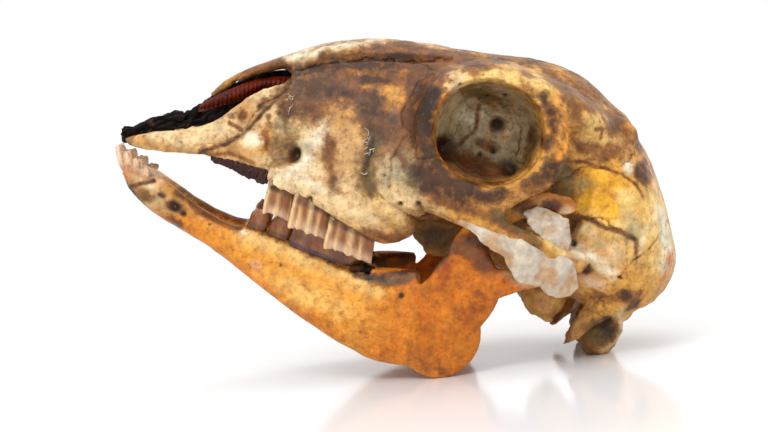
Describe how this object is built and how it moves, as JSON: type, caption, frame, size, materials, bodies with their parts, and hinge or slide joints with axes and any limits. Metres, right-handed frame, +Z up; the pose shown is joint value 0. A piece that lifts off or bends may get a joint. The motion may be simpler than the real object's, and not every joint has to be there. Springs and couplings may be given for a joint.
{
  "type": "lamb skull",
  "caption": "Skull of a young sheep with its lower jaw in place, stained bone with remnants of dried tissue, resting on the jaw angles and condyles.",
  "frame": {"origin": "middle of the bounding box at the floor it rests on", "axes": "-X towards the snout, -Y the animal's left side, +Z up; tipped nose up as it rests"},
  "size_m": [0.1576, 0.0826, 0.096],
  "materials": {
    "face_bone": "satin, stained bone",
    "brow_bone": "satin, brown stained bone",
    "braincase_bone": "satin, thin yellow bone",
    "base_bone": "matt, rough bone",
    "jaw_bone": "satin, amber stained bone",
    "tooth_enamel": "glossy enamel",
    "dried_gristle": "satin, dark and dried",
    "dried_membrane": "thin, red-brown",
    "dried_tendon": "thin, milky white"
  },
  "bodies": {
    "root": {"premaxilla_left": "face_bone", "premaxilla_right": "face_bone", "nasal_left": "face_bone", "nasal_right": "face_bone", "maxilla_left": "face_bone", "maxilla_right": "face_bone", "lacrimal_left": "brow_bone", "lacrimal_right": "brow_bone", "zygomatic_left": "brow_bone", "zygomatic_right": "brow_bone", "frontal_left": "brow_bone", "frontal_right": "brow_bone", "temporal_left": "braincase_bone", "temporal_right": "braincase_bone", "mandible_left": "jaw_bone", "mandible_right": "jaw_bone", "turbinate_left": "dried_membrane", "turbinate_right": "dried_membrane", "joint_tissue_left": "dried_tendon", "joint_tissue_right": "dried_tendon", "palate_strip_left": "dried_gristle", "palate_strip_right": "dried_gristle", "occipital": "braincase_bone", "parietal": "braincase_bone", "sphenoid": "base_bone", "septum": "dried_gristle"}
  },
  "joints": []
}
